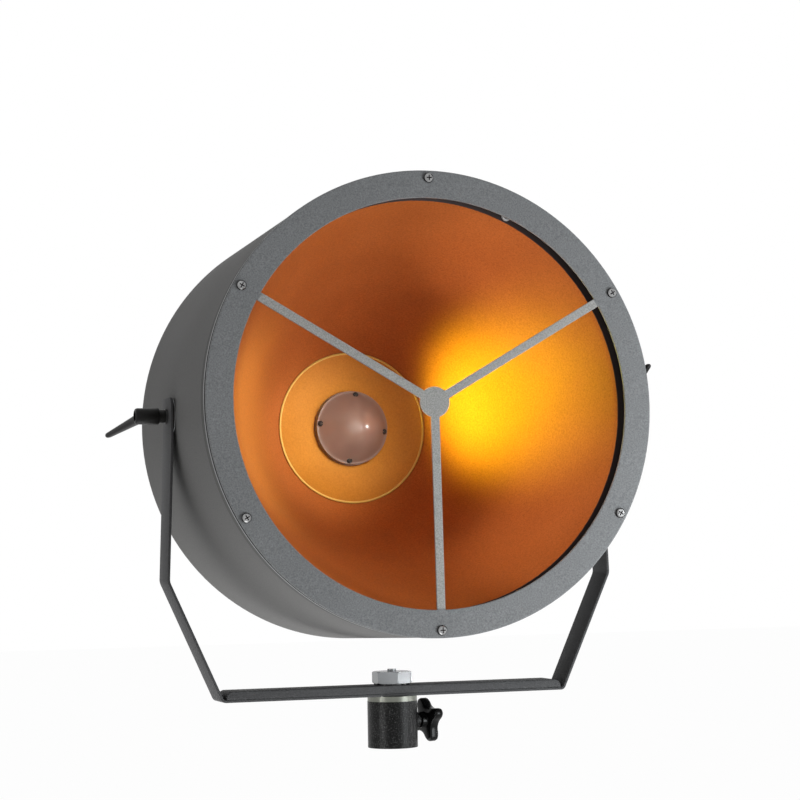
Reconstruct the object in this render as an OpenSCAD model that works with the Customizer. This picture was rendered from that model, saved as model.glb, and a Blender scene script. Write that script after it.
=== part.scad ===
// Drum floodlight on a bent-strip yoke with a stand socket.
// Origin at the centre of the socket's mouth, +Z up, the lamp faces -Y. Millimetres.

/* [Drum] */
// Outer diameter of the drum
drum_d = 377; // [310:1:450]
// Sheet thickness of the drum wall and its back lip
drum_wall = 1.5; // [1:0.1:3]
// Depth of the head from the ring's front face to the back cover's outer face
head_depth = 246.5; // [230:0.5:320]
// Depth of the tilt axis behind the ring's front face
pivot_depth = 124.5; // [100:0.5:150]
// Upward set of the head at rest, in degrees
head_tilt = 2; // [0:0.5:10]
// Inward width of the drum's back lip
back_lip_w = 14; // [10:1:25]
// Thickness of the back cover sheet
cover_t = 1.5; // [1:0.1:3]

/* [Front ring] */
// Radial step from the drum to the ring's outer edge
ring_overhang = 0.5; // [0:0.5:4]
// Radial width of the ring's face, from its outer edge to its opening
ring_face_w = 22.5; // [20:0.5:50]
// Sheet thickness of the ring and guard
ring_sheet = 2; // [1.5:0.1:3]
// Depth of the ring's turned edge
ring_lip = 8; // [4:0.5:9]
// Radial width of the hoop that takes the ring screws
hoop_w = 8.5; // [7:0.5:12]
// Depth of that hoop
hoop_depth = 12; // [9:0.5:12]
// Width of a guard spoke
spoke_w = 7; // [4:0.5:12]
// Diameter of the guard's hub
guard_hub_d = 25; // [15:1:40]

/* [Reflector] */
// How far the reflector's rim lies outside the ring's opening
rim_cover = 0.5; // [0.5:0.5:3]
// Depth of the reflector's rim behind the ring's front face
reflector_setback = 16.5; // [14:0.5:25]
// Radial gap between the reflector's throat and the inner bowl
throat_gap = 0.4; // [0.3:0.1:4]
// How far the throat lies behind the bowl's rim
throat_lap = 1.5; // [1:0.5:3]
// Sheet thickness of the reflector and the bowl
reflector_sheet = 1.2; // [0.8:0.1:2]
// Width of the reflector's flat rim flange
reflector_flange_w = 9; // [8:0.5:10]

/* [Inner bowl and lens] */
// Outer diameter of the inner bowl
bowl_d = 135; // [110:1:137]
// Height of the bowl's rim and the lens flange above the back cover
lens_height = 19; // [19:0.5:70]
// Depth of the bowl itself
bowl_depth = 7; // [5:0.5:7]
// Diameter of the lens flange
lens_flange_d = 66.4; // [58:0.2:80]
// Thickness of the lens flange
lens_flange_t = 2; // [1.5:0.1:3]
// Diameter of the dome where it leaves the flange
dome_d = 53; // [36:1:53]
// Height of the dome above the flange
dome_h = 19; // [12:1:22]
// Wall of the dome
dome_wall = 2; // [1.5:0.1:3]

/* [Yoke] */
// Width of the yoke strip
strip_w = 32; // [24:1:45]
// Thickness of the yoke strip
strip_t = 2.2; // [1.5:0.1:4]
// Clear height between the drum and the stiffener bar
yoke_clear = 39.5; // [38:0.5:80]
// Drop from the tilt axis to the bend in each leg
bend_drop = 137; // [110:1:160]
// Outward set of the arm at that bend
arm_set = 4.3; // [0:0.1:10]
// Outside width of the yoke's bottom run
bottom_run = 302; // [240:1:360]
// Height of the arm above the tilt axis
arm_top = 15; // [12:0.5:25]
// Height of the stiffener bar
stiffener_h = 6.8; // [4:0.1:12]

/* [Stand socket] */
// Outer diameter of the socket tube
socket_d = 42.4; // [40:0.1:60]
// Bore of the socket tube, for a 35 mm pole
socket_bore = 36; // [30:0.1:38]
// Length of the socket tube
socket_len = 39; // [39:1:120]
// Thickness of the plug in the tube's top, and of the shoulder round it
plug_t = 9.5; // [7:0.5:12]
// Thickness of the bearing washer
bearing_t = 4.4; // [2:0.1:6]
// Shank diameter of the swivel bolt
bolt_d = 20; // [12:1:20]
// Width across flats of the bolt's head
bolt_af = 30; // [24:1:34]
// Height of the bolt's head
bolt_head_h = 10; // [8:0.5:13]
// Diameter across the star knob's lobes
star_d = 38.5; // [30:0.5:40]
// Thickness of the star knob
star_t = 9; // [7:0.5:12]
// Direction of the clamp screw round the socket, in degrees from +X towards +Y
clamp_azimuth = 16; // [-180:1:180]

/* [Levers] */
// Diameter of the lever's hub
lever_hub_d = 13.6; // [13:0.1:18]
// Length of the lever's hub
lever_hub_len = 20; // [20:0.5:26]
// Length of the lever's arm
lever_arm_len = 57; // [30:1:60]
// Outward lean of the lever's arm, in degrees
lever_lean = 20; // [5:1:30]
// Angle of the left lever about the tilt axis, from +Y towards +Z
left_lever_angle = -14; // [-180:1:180]
// Angle of the right lever about the tilt axis, from +Y towards +Z
right_lever_angle = 126; // [-180:1:180]
// Diameter of the threaded stud
stud_d = 8; // [8:1:8]
// Free lift of the handle off its teeth
lever_lift = 4; // [3:0.5:4]

/* [Hidden] */
$fn = 96;

// Clearances: between faces that turn on each other, and between a piece and its tight seat
run_gap = 0.1;
seat_gap = 0.05;
pin_gap = 0.08;
eps = 0.5;

// Screw sizes: thread, head diameter and head height
m4 = 4;
m4_head_d = 8;
m4_head_h = 2.5;
m3 = 3;
m3_head_d = 5.2;
m3_head_h = 1.9;

// Screw lengths under the head
cover_screw_len = 7;
flange_screw_len = 7;
lens_screw_len = 7;
ring_screw_len = 9;
post_screw_len = 7;
driver_screw_len = 11;
inlet_screw_len = 8;

// Drum and ring
drum_r = drum_d / 2;
drum_inner_r = drum_r - drum_wall;
ring_r = drum_r + ring_overhang;
ring_inner_r = ring_r - ring_face_w;
lip_wall = 1.5;
lip_gap = 0.8;
hoop_r = drum_inner_r - seat_gap;
hoop_inner_r = hoop_r - hoop_w;
ring_screw_r = (hoop_r + hoop_inner_r) / 2;
ring_screw_count = 6;
spoke_angles = [30, 150, 270];
drum_front = ring_lip + lip_gap;
cover_depth = head_depth - cover_t;
cover_screw_r = drum_inner_r - back_lip_w / 2;
cover_screw_count = 6;
cover_edge_gap = 0.5;
lip_r = drum_inner_r - back_lip_w;

// Reflector: a paraboloid through its rim and its throat
bowl_setback = cover_depth - lens_height;
reflector_r = ring_inner_r + rim_cover;
throat_r = bowl_d / 2 + throat_gap;
throat_depth = bowl_setback + throat_lap;
parabola_k = (pow(reflector_r, 2) - pow(throat_r, 2)) / (throat_depth - reflector_setback);
function reflector_radius(depth) = sqrt(pow(throat_r, 2) + parabola_k * (throat_depth - depth));
function reflector_slant(depth) = sqrt(1 + pow(parabola_k / (2 * reflector_radius(depth)), 2));
reflector_steps = 14;
reflector_depths = [for (i = [0:reflector_steps])
    reflector_setback + (throat_depth - reflector_setback) * i / reflector_steps];
flange_r = reflector_r + reflector_flange_w;
flange_screw_r = flange_r - 3.5;
flange_back = reflector_setback + reflector_sheet;
lug_angles = [65, 115, 245, 295];
lug_w = 20;
lug_t = 2;
lug_foot = 20;

// Bowl, post and lens, all on the drum's axis
bowl_r = bowl_d / 2;
post_r = lens_flange_d / 2;
post_seat_gap = 0.3;
bowl_bottom_r = post_r + 1.5;
bowl_floor = bowl_setback + bowl_depth;
bowl_steps = 8;
shoulder_depth = bowl_floor + reflector_sheet;
shoulder_r = post_r + 9;
shoulder_t = 3.5;
post_face = bowl_setback + lens_flange_t;
board_pocket = 2;
board_t = 1.4;
chip_t = 0.8;
chip_side = 20;
board_r = post_r - 8.2;
dome_r = dome_d / 2;
dome_ball_r = (pow(dome_r, 2) + pow(dome_h, 2)) / (2 * dome_h);
dome_centre = bowl_setback - dome_h + dome_ball_r;
lens_screw_edge = 3.4;
lens_screw_r = post_r - lens_screw_edge;
lens_screw_turn = -7;
lens_screw_count = 4;
fin_r = post_r + 13;
fin_t = 1.6;
fin_pitch = 3.2;
fin_core_r = post_r - 9;
post_base_t = 4;
post_screw_r = 33;
post_screw_count = 4;

// Electrics on the back cover: width, height and depth of each, and its place
driver_size = [140, 62, 42];
driver_gap = 2.6;
driver_z = sqrt(pow(lip_r - driver_gap, 2) - pow(driver_size[0] / 2, 2)) - driver_size[2] / 2;
vent_count = 24;
vent_len = 12;
vent_w = 4;
vent_edge = 2;
vent_inner_r = driver_z - driver_size[2] / 2 - vent_edge - vent_len;
driver_screw_x = 60;
driver_screw_z = 13;
panel_set = 46;
panel_z = panel_set - lip_r;
panel_x = 36;
inlet_at = [-panel_x, panel_z];
inlet_body = [28, 24, 20.4];
inlet_flange = [50, 2.5, 27];
inlet_well = [24.6, 16, 16.6];
inlet_screw_x = 20;
pin_size = [2, 13, 4];
pin_x = 7;
switch_at = [panel_x, panel_z];
switch_body = [27, 22, 21];
switch_bezel = [31, 2, 25];
rocker_r = 9;
rocker_len = 23;
rocker_roof = 9;
rocker_set = -9;
rocker_gap = 0.4;
rocker_rise = 3;
cutout_gap = 0.2;
lead_d = 3.6;
lead_bulge = 0.4;
lead_room = 5;
lead_depth = head_depth - inlet_body[1] - lead_room;
lead_inset = 58;
lead_reach = 22;
lead_drop = 8;
lead_step = 7;
lead_rise = 39;
lead_fall = 63;
lead_pitch = 12;
lamp_turn = [62, 45];
lead_x = lip_r - lead_inset;
lead_end_x = driver_size[0] / 2 + lead_reach;
lead_z = driver_z - lead_drop;
mains_lead = [
    [inlet_at[0], head_depth + inlet_flange[1] - inlet_body[1], inlet_at[1]],
    [inlet_at[0], lead_depth, inlet_at[1]],
    [switch_at[0] - lead_pitch / 2, lead_depth, switch_at[1]],
    [switch_at[0] - lead_pitch / 2, head_depth + switch_bezel[1] - switch_body[1], switch_at[1]]
];
driver_lead = [
    [switch_at[0] + lead_pitch / 2, head_depth + switch_bezel[1] - switch_body[1], switch_at[1]],
    [switch_at[0] + lead_pitch / 2, lead_depth, switch_at[1]],
    [lead_x - lead_step, lead_depth, panel_z + lead_rise],
    [lead_x, lead_depth, lead_z - lead_fall],
    [lead_end_x, lead_depth, lead_z],
    [driver_size[0] / 2, lead_depth, lead_z]
];
lamp_lead_depth = shoulder_depth + shoulder_t / 2 + 0.6;
lamp_lead = [
    [-driver_size[0] / 2, lead_depth, lead_z],
    [-lead_end_x, lead_depth, lead_z],
    [-lead_end_x, lamp_lead_depth, lamp_turn[1]],
    [-lamp_turn[0], lamp_lead_depth, 0],
    [-shoulder_r, lamp_lead_depth, 0]
];

// Tilt pivot, from the drum's wall outwards
boss_d = 30;
boss_out = 0.4;
boss_in = 13.5;
friction_t = 1.2;
washer_t = 1.6;
washer_d = 12.4;
arm_hole_gap = 0.4;
doubler_half = 32;
doubler_t = 3;
doubler_gap = 0.1;
boss_face = drum_r + boss_out;
arm_inner = boss_face + friction_t + run_gap;
arm_outer = arm_inner + strip_t;
neck_start = arm_outer + washer_t + run_gap;

// Clamping levers, measured outwards from the arm
neck_d = 10.8;
neck_len = 5;
core_d = 9;
core_len = 7;
hub_start = neck_start + neck_len + 2 * run_gap;
core_room = core_len + 0.5;
hub_web = 2;
web_end = hub_start + core_room + hub_web;
hub_end = hub_start + lever_hub_len;
hub_counterbore_d = 8.8;
lever_screw_d = 3;
lever_screw_head_d = 7.4;
lever_screw_head_h = 2.2;
spring_block = 1.8;
spring_start = web_end + lever_lift + 2 * run_gap;
arm_root_r = 4.8;
arm_tip_r = 2.6;

// Yoke: mid-line points of the right half, from the arm's top down to the bottom run
socket_r = socket_d / 2;
bore_r = socket_bore / 2;
strip_bottom = socket_len + bearing_t + run_gap;
stiffener_z = strip_bottom + strip_t;
stiffener_top = stiffener_z + stiffener_h;
pivot_z = stiffener_top + yoke_clear + drum_r;
arm_mid = arm_inner + strip_t / 2;
arm_flat = 22;
corner_r = 5;
yoke_points = [
    [arm_mid, pivot_z + arm_top - corner_r],
    [arm_mid, pivot_z - arm_flat],
    [arm_mid + arm_set, pivot_z - bend_drop],
    [bottom_run / 2, strip_bottom + strip_t / 2],
    [0, strip_bottom + strip_t / 2]
];
bend_len = 2.5;
bend_steps = 4;
function unit(v) = v / norm(v);
function bend(p, i) = [for (k = [0:bend_steps]) let (t = k / bend_steps)
    p[i] + bend_len * (unit(p[i - 1] - p[i]) * pow(1 - t, 2) + unit(p[i + 1] - p[i]) * pow(t, 2))];
half_path = concat([yoke_points[0]], bend(yoke_points, 1), bend(yoke_points, 2), bend(yoke_points, 3));
yoke_path = concat(half_path,
    [for (i = [len(half_path) - 1:-1:0]) [-half_path[i][0], half_path[i][1]]]);
function normal_of(v) = [-v[1], v[0]] / norm(v);
// Point beside a path's point, at the given distance, mitred between its two runs
function beside(p, i, off) = let (
    before = max(i, 1),
    after = min(i, len(p) - 2),
    n = normal_of(p[before] - p[before - 1]) + normal_of(p[after + 1] - p[after]))
    p[i] + n * off * 2 / (n * n);
bolt_r = bolt_d / 2 - seat_gap;
relief_len = 1.5;
relief_r = bore_r + 0.4;
pole_depth = socket_len - plug_t - relief_len;
plug_r = bore_r - 1.2;
lock_washer_t = 1.2;
lock_washer_d = 26;
lock_teeth = 10;
tooth_w = 3;
tooth_len = 2.2;
head_turn = 29;
head_chamfer = 1.4;
chamfer_slope = 1.7;
stiffener_end_gap = bend_len + 0.2;
stiffener_half = bottom_run / 2 - stiffener_end_gap;
stiffener_round = 5.5;
nib_d = 7.5;
nib_h = 2;

// Clamp screw on the socket's side
clamp_z = 21;
clamp_hole_r = 4.2;
clamp_boss_d = 15;
clamp_boss_end = 24;
clamp_travel = 2.5;
pad_t = 1.5;
pad_r = 3.6;
pad_start = bore_r + run_gap;
clamp_screw_r = 4;
clamp_screw_start = pad_start + pad_t + run_gap;
star_neck_d = 14;
star_neck_start = clamp_boss_end + clamp_travel + 0.5;
star_neck_len = 5;
star_start = star_neck_start + star_neck_len;
scallop_r = 14.5;
scallop_set = 6.8;
star_lobes = 4;
star_turn = 67;

// Places a child in the head's frame: tilt axis along X through the origin, front towards -Y
module in_head() {
    translate([0, 0, pivot_z]) rotate([-head_tilt, 0, 0]) children();
}

// Places a child that is drawn along +Z so that Z is the depth behind the ring's front face
module along_depth() {
    in_head() translate([0, -pivot_depth, 0]) rotate([-90, 0, 0]) children();
}

// Repeats a child round the drum's axis at angles counted from +X towards +Z
module round_axis(angles) {
    for (a = angles) rotate([0, 0, -a]) children();
}

function even_angles(count, turn) = [for (i = [0:count - 1]) turn + 360 * i / count];

module tube(r_out, r_in, h) {
    difference() {
        cylinder(r = r_out, h = h);
        translate([0, 0, -eps]) cylinder(r = r_in, h = h + 2 * eps);
    }
}

// Pan-head screw along +Z: the head stands below z = 0 and the shank above it
module pan_screw(d, head_d, head_h, len) {
    difference() {
        union() {
            cylinder(d = d - 2 * seat_gap, h = len);
            translate([0, 0, -head_h / 2]) cylinder(d = head_d, h = head_h / 2);
            translate([0, 0, -head_h]) cylinder(d1 = head_d * 0.72, d2 = head_d, h = head_h / 2);
        }
        for (a = [0, 90]) rotate([0, 0, a])
            translate([-head_d * 0.28, -head_d * 0.06, -head_h - eps])
                cube([head_d * 0.56, head_d * 0.12, head_h * 0.55 + eps]);
    }
}

// Round lead through a list of points given as x, depth and z
module lead(points) {
    for (i = [0:len(points) - 2]) {
        step = points[i + 1] - points[i];
        run = norm(step);
        translate(points[i]) rotate([0, acos(step[2] / run), atan2(step[1], step[0])])
            cylinder(d = lead_d, h = run, $fn = 24);
    }
    for (i = [1:len(points) - 2]) translate(points[i]) sphere(d = lead_d + lead_bulge, $fn = 24);
}

module drum_shell() {
    color("dimgray") difference() {
        along_depth() {
            translate([0, 0, drum_front]) tube(drum_r, drum_inner_r, cover_depth - drum_front);
            translate([0, 0, cover_depth - drum_wall]) difference() {
                tube(drum_r - drum_wall / 2, lip_r, drum_wall);
                round_axis(even_angles(cover_screw_count, 0))
                    translate([cover_screw_r, 0, -eps]) cylinder(d = m4, h = drum_wall + 2 * eps);
            }
        }
        in_head() rotate([0, 90, 0])
            cylinder(d = boss_d + 2 * seat_gap, h = 2 * drum_d, center = true);
    }
}

module front_hoop() {
    color("dimgray") along_depth() translate([0, 0, ring_sheet]) difference() {
        tube(hoop_r, hoop_inner_r, hoop_depth);
        round_axis(even_angles(ring_screw_count, 30))
            translate([ring_screw_r, 0, -eps]) cylinder(d = m4, h = hoop_depth + 2 * eps);
    }
}

module front_ring() {
    color("gray") along_depth() {
        difference() {
            union() {
                tube(ring_r, ring_inner_r, ring_sheet);
                tube(ring_r, ring_r - lip_wall, ring_lip);
            }
            round_axis(even_angles(ring_screw_count, 30)) translate([ring_screw_r, 0, -eps])
                cylinder(d = m4 + 2 * seat_gap, h = ring_sheet + 2 * eps);
        }
        round_axis(spoke_angles) translate([0, -spoke_w / 2, 0])
            cube([ring_inner_r + spoke_w / 4, spoke_w, ring_sheet]);
        cylinder(d = guard_hub_d, h = ring_sheet);
    }
}

module ring_screws() {
    color("silver") along_depth() round_axis(even_angles(ring_screw_count, 30))
        translate([ring_screw_r, 0, 0])
            pan_screw(m4, m4_head_d, m4_head_h, ring_screw_len);
}

module back_cover() {
    color("dimgray") along_depth() translate([0, 0, cover_depth]) difference() {
        cylinder(r = drum_r - cover_edge_gap, h = cover_t);
        round_axis(even_angles(cover_screw_count, 0))
            translate([cover_screw_r, 0, -eps]) cylinder(d = m4, h = cover_t + 2 * eps);
        round_axis(even_angles(post_screw_count, 45))
            translate([post_screw_r, 0, -eps]) cylinder(d = m4, h = cover_t + 2 * eps);
        round_axis(even_angles(vent_count, 360 / vent_count / 2))
            translate([vent_inner_r, -vent_w / 2, -eps])
                cube([vent_len, vent_w, cover_t + 2 * eps]);
        for (sx = [-1, 1], sz = [-1, 1])
            translate([sx * driver_screw_x, -driver_z - sz * driver_screw_z, -eps])
                cylinder(d = m4, h = cover_t + 2 * eps);
        panel_hole(inlet_at, inlet_body);
        panel_hole(switch_at, switch_body);
        for (sx = [-1, 1]) translate([inlet_at[0] + sx * inlet_screw_x, -inlet_at[1], -eps])
            cylinder(d = m3, h = cover_t + 2 * eps);
    }
}

// Rectangular hole in the back cover for a body of the given size
module panel_hole(at, body) {
    translate([at[0], -at[1], cover_t / 2])
        cube([body[0] + 2 * cutout_gap, body[2] + 2 * cutout_gap, cover_t + 2 * eps], center = true);
}

// Screws that enter the head from behind the back cover
module rear_screw(d, head_d, head_h, stand, len) {
    translate([0, 0, head_depth + stand]) mirror([0, 0, 1]) pan_screw(d, head_d, head_h, len);
}

module cover_screws() {
    color("silver") along_depth() round_axis(even_angles(cover_screw_count, 0))
        translate([cover_screw_r, 0, 0]) rear_screw(m4, m4_head_d, m4_head_h, 0, cover_screw_len);
}

module reflector_dish() {
    inner = [for (d = reflector_depths) [reflector_radius(d), d]];
    outer = [for (i = [reflector_steps:-1:0]) let (d = reflector_depths[i])
        [reflector_radius(d) + reflector_sheet * reflector_slant(d), d]];
    color("darkorange") along_depth() {
        rotate_extrude() polygon(concat(inner, outer));
        translate([0, 0, reflector_setback]) difference() {
            tube(flange_r, reflector_r, reflector_sheet);
            round_axis(lug_angles) translate([flange_screw_r, 0, -eps])
                cylinder(d = m4, h = reflector_sheet + 2 * eps);
        }
    }
}

module reflector_lugs() {
    foot_r = sqrt(pow(drum_inner_r, 2) - pow(lug_w / 2, 2)) - 3 * seat_gap;
    lug_start = reflector_r + 2.5;
    color("silver") along_depth() round_axis(lug_angles) translate([0, 0, flange_back]) difference() {
        union() {
            translate([lug_start, -lug_w / 2, 0]) cube([foot_r - lug_start, lug_w, lug_t]);
            translate([foot_r - lug_t, -lug_w / 2, 0]) cube([lug_t, lug_w, lug_foot]);
        }
        translate([flange_screw_r, 0, -eps]) cylinder(d = m4, h = lug_t + 2 * eps);
    }
}

module reflector_screws() {
    color("silver") along_depth() round_axis(lug_angles)
        translate([flange_screw_r, 0, reflector_setback])
            pan_screw(m4, m4_head_d, m4_head_h, flange_screw_len);
}

module inner_bowl() {
    function wall(off) = [for (i = [0:bowl_steps]) let (t = i / bowl_steps)
        [bowl_bottom_r + (bowl_r - bowl_bottom_r) * t, bowl_setback + bowl_depth * (1 - t * t) + off]];
    inner = wall(0);
    outer = wall(reflector_sheet);
    hole_r = post_r + post_seat_gap;
    color("orange") along_depth() rotate_extrude() polygon(concat(
        [[hole_r, bowl_floor]], inner,
        [for (i = [bowl_steps:-1:0]) outer[i]],
        [[hole_r, shoulder_depth]]));
}

module heat_sink() {
    fins = floor((cover_depth - post_base_t - shoulder_depth - shoulder_t - 1) / fin_pitch);
    color("silver") along_depth() difference() {
        union() {
            translate([0, 0, post_face]) cylinder(r = post_r, h = shoulder_depth - post_face);
            translate([0, 0, shoulder_depth]) cylinder(r = shoulder_r, h = shoulder_t);
            translate([0, 0, shoulder_depth])
                cylinder(r = fin_core_r, h = cover_depth - shoulder_depth);
            for (i = [1:1:fins]) translate([0, 0, shoulder_depth + shoulder_t + fin_pitch * i - fin_t])
                cylinder(r = fin_r, h = fin_t);
            translate([0, 0, cover_depth - post_base_t]) cylinder(r = shoulder_r, h = post_base_t);
        }
        translate([0, 0, post_face - eps]) cylinder(r = board_r + seat_gap, h = board_pocket + eps);
        round_axis(even_angles(lens_screw_count, 90 + lens_screw_turn))
            translate([lens_screw_r, 0, post_face - eps]) cylinder(d = m3, h = lens_screw_len + 1 + eps);
        round_axis(even_angles(post_screw_count, 45))
            translate([post_screw_r, 0, head_depth - post_screw_len - 1])
                cylinder(d = m4, h = post_screw_len + 1);
    }
}

module post_screws() {
    color("silver") along_depth() round_axis(even_angles(post_screw_count, 45))
        translate([post_screw_r, 0, 0]) rear_screw(m4, m4_head_d, m4_head_h, 0, post_screw_len);
}

module led_board() {
    color("white") along_depth() translate([0, 0, post_face + board_pocket - board_t])
        cylinder(r = board_r, h = board_t);
}

module led_chip() {
    color("gold") along_depth()
        translate([0, 0, post_face + board_pocket - board_t - chip_t / 2])
            cube([chip_side, chip_side, chip_t], center = true);
}

module dome_lens() {
    color("thistle") along_depth() difference() {
        union() {
            intersection() {
                translate([0, 0, dome_centre]) sphere(r = dome_ball_r);
                translate([0, 0, bowl_setback - dome_h - eps]) cylinder(r = dome_d, h = dome_h + 2 * eps);
            }
            translate([0, 0, bowl_setback]) cylinder(r = post_r, h = lens_flange_t);
        }
        intersection() {
            translate([0, 0, dome_centre]) sphere(r = dome_ball_r - dome_wall);
            translate([0, 0, bowl_setback - dome_h]) cylinder(r = dome_d, h = dome_h + lens_flange_t + eps);
        }
        round_axis(even_angles(lens_screw_count, 90 + lens_screw_turn))
            translate([lens_screw_r, 0, bowl_setback - eps]) cylinder(d = m3, h = lens_flange_t + 2 * eps);
    }
}

module dome_screws() {
    color("black") along_depth() round_axis(even_angles(lens_screw_count, 90 + lens_screw_turn))
        translate([lens_screw_r, 0, bowl_setback])
            pan_screw(m3, m3_head_d, m3_head_h, lens_flange_t + lens_screw_len);
}

module driver_box() {
    color("lightgray") along_depth() difference() {
        translate([-driver_size[0] / 2, -driver_z - driver_size[2] / 2, cover_depth - driver_size[1]])
            cube([driver_size[0], driver_size[2], driver_size[1]]);
        for (sx = [-1, 1], sz = [-1, 1])
            translate([sx * driver_screw_x, -driver_z - sz * driver_screw_z,
                head_depth - driver_screw_len - 1]) cylinder(d = m4, h = driver_screw_len + 1);
    }
}

module driver_screws() {
    color("silver") along_depth() for (sx = [-1, 1], sz = [-1, 1])
        translate([sx * driver_screw_x, -driver_z - sz * driver_screw_z, 0])
            rear_screw(m4, m4_head_d, m4_head_h, 0, driver_screw_len);
}

// Places a block of the given size, centred on a panel position, from a depth backwards
module panel_block(at, size, depth) {
    translate([at[0] - size[0] / 2, -at[1] - size[2] / 2, depth]) cube([size[0], size[2], size[1]]);
}

module power_inlet() {
    body_front = head_depth + inlet_flange[1] - inlet_body[1];
    color("black") along_depth() difference() {
        union() {
            panel_block(inlet_at, inlet_flange, head_depth);
            panel_block(inlet_at, inlet_body, body_front);
        }
        panel_block(inlet_at, [inlet_well[0], inlet_well[1] + eps, inlet_well[2]],
            head_depth + inlet_flange[1] - inlet_well[1]);
        for (sx = [-1, 1]) translate([inlet_at[0] + sx * inlet_screw_x, -inlet_at[1], head_depth - eps])
            cylinder(d = m3, h = inlet_flange[1] + 2 * eps);
    }
}

module inlet_pins() {
    color("silver") along_depth() for (i = [-1:1])
        panel_block([inlet_at[0] + i * pin_x, inlet_at[1] + (i == 0 ? 2.5 : -2.5)], pin_size,
            head_depth + inlet_flange[1] - inlet_well[1]);
}

module inlet_screws() {
    color("silver") along_depth() for (sx = [-1, 1])
        translate([inlet_at[0] + sx * inlet_screw_x, -inlet_at[1], 0])
            rear_screw(m3, m3_head_d, m3_head_h, inlet_flange[1], inlet_screw_len);
}

module switch_housing() {
    body_front = head_depth + switch_bezel[1] - switch_body[1];
    color("black") along_depth() difference() {
        union() {
            panel_block(switch_at, switch_bezel, head_depth);
            panel_block(switch_at, switch_body, body_front);
        }
        translate([switch_at[0], -switch_at[1], head_depth + rocker_rise - rocker_gap])
            rotate([0, 90, 0]) cylinder(r = rocker_r + rocker_gap,
                h = rocker_len + 2 * rocker_gap, center = true);
    }
}

module switch_rocker() {
    color("dimgray") along_depth()
        translate([switch_at[0], -switch_at[1], head_depth + rocker_rise - rocker_gap])
        rotate([rocker_set, 0, 0]) rotate([0, 90, 0]) difference() {
            cylinder(r = rocker_r, h = rocker_len, center = true);
            for (s = [-1, 1]) rotate([0, 0, s * rocker_roof])
                translate([-2 * rocker_r - rocker_rise, -2 * rocker_r, -rocker_len])
                    cube([2 * rocker_r, 4 * rocker_r, 2 * rocker_len]);
        }
}

module wiring() {
    color("black") in_head() translate([0, -pivot_depth, 0]) {
        lead(mains_lead);
        lead(driver_lead);
        lead(lamp_lead);
    }
}

// Draws a child along +X from the tilt axis, on the right for 1 and on the left for -1
module on_side(side) {
    translate([0, 0, pivot_z]) mirror([side < 0 ? 1 : 0, 0, 0]) rotate([0, 90, 0]) children();
}

module pivot_boss(side) {
    color("silver") on_side(side) translate([0, 0, boss_face - boss_out - boss_in])
        tube(boss_d / 2, stud_d / 2 + pin_gap, boss_out + boss_in);
}

module pivot_boss_left() {
    pivot_boss(-1);
}

module pivot_boss_right() {
    pivot_boss(1);
}

module pivot_doublers() {
    outer_r = drum_inner_r - doubler_gap;
    color("silver") in_head() difference() {
        rotate([90, 0, 0]) translate([0, 0, -doubler_half])
            tube(outer_r, outer_r - doubler_t, 2 * doubler_half);
        for (s = [-1, 1]) translate([-drum_d, -drum_d, s > 0 ? doubler_half : -doubler_half - drum_d])
            cube([2 * drum_d, 2 * drum_d, drum_d]);
        rotate([0, 90, 0]) cylinder(d = boss_d + 2 * seat_gap, h = 2 * drum_d, center = true);
    }
}

module friction_washers() {
    color("saddlebrown") for (s = [-1, 1]) on_side(s)
        translate([0, 0, boss_face]) tube(boss_d / 2, stud_d / 2 + arm_hole_gap, friction_t);
}

module lever_washers() {
    color("silver") for (s = [-1, 1]) on_side(s)
        translate([0, 0, arm_outer]) tube(washer_d / 2, stud_d / 2 + arm_hole_gap, washer_t);
}

module lever_insert(side) {
    stud_start = boss_face - boss_out - boss_in + 2;
    color("silver") on_side(side) difference() {
        union() {
            translate([0, 0, stud_start]) cylinder(d = stud_d, h = neck_start - stud_start + eps);
            translate([0, 0, neck_start]) cylinder(d = neck_d, h = neck_len);
            translate([0, 0, neck_start + neck_len - eps]) cylinder(d = core_d - 0.6, h = core_len + eps);
        }
        translate([0, 0, neck_start + 3])
            cylinder(d = lever_screw_d + 2 * seat_gap, h = neck_len + core_len);
    }
}

module lever_insert_left() {
    lever_insert(-1);
}

module lever_insert_right() {
    lever_insert(1);
}

// Angles are turned so that the arm points from +Y towards +Z on either side
module lever_handle(side, angle) {
    arm_at = hub_end - arm_root_r - 2.5;
    color([0.1, 0.1, 0.1]) on_side(side) difference() {
        union() {
            translate([0, 0, hub_start]) cylinder(d = lever_hub_d, h = lever_hub_len - 1.5);
            translate([0, 0, hub_end - 1.5])
                cylinder(d1 = lever_hub_d, d2 = lever_hub_d - 2.4, h = 1.5);
            rotate([0, 0, 90 + angle]) translate([0, 0, arm_at]) rotate([0, 90 - lever_lean, 0]) {
                cylinder(r1 = arm_root_r, r2 = arm_tip_r, h = lever_arm_len);
                translate([0, 0, lever_arm_len]) sphere(r = arm_tip_r);
            }
        }
        translate([0, 0, hub_start - eps]) cylinder(d = core_d + 0.2, h = core_room + eps);
        translate([0, 0, hub_start]) cylinder(d = lever_screw_d + 0.8, h = lever_hub_len);
        translate([0, 0, web_end]) cylinder(d = hub_counterbore_d, h = lever_hub_len + lever_arm_len);
    }
}

module lever_handle_left() {
    lever_handle(-1, left_lever_angle);
}

module lever_handle_right() {
    lever_handle(1, right_lever_angle);
}

module lever_spring(side) {
    color("silver") on_side(side) translate([0, 0, spring_start])
        tube(lever_screw_head_d / 2, lever_screw_d / 2 + 0.5, spring_block);
}

module lever_spring_left() {
    lever_spring(-1);
}

module lever_spring_right() {
    lever_spring(1);
}

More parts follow.
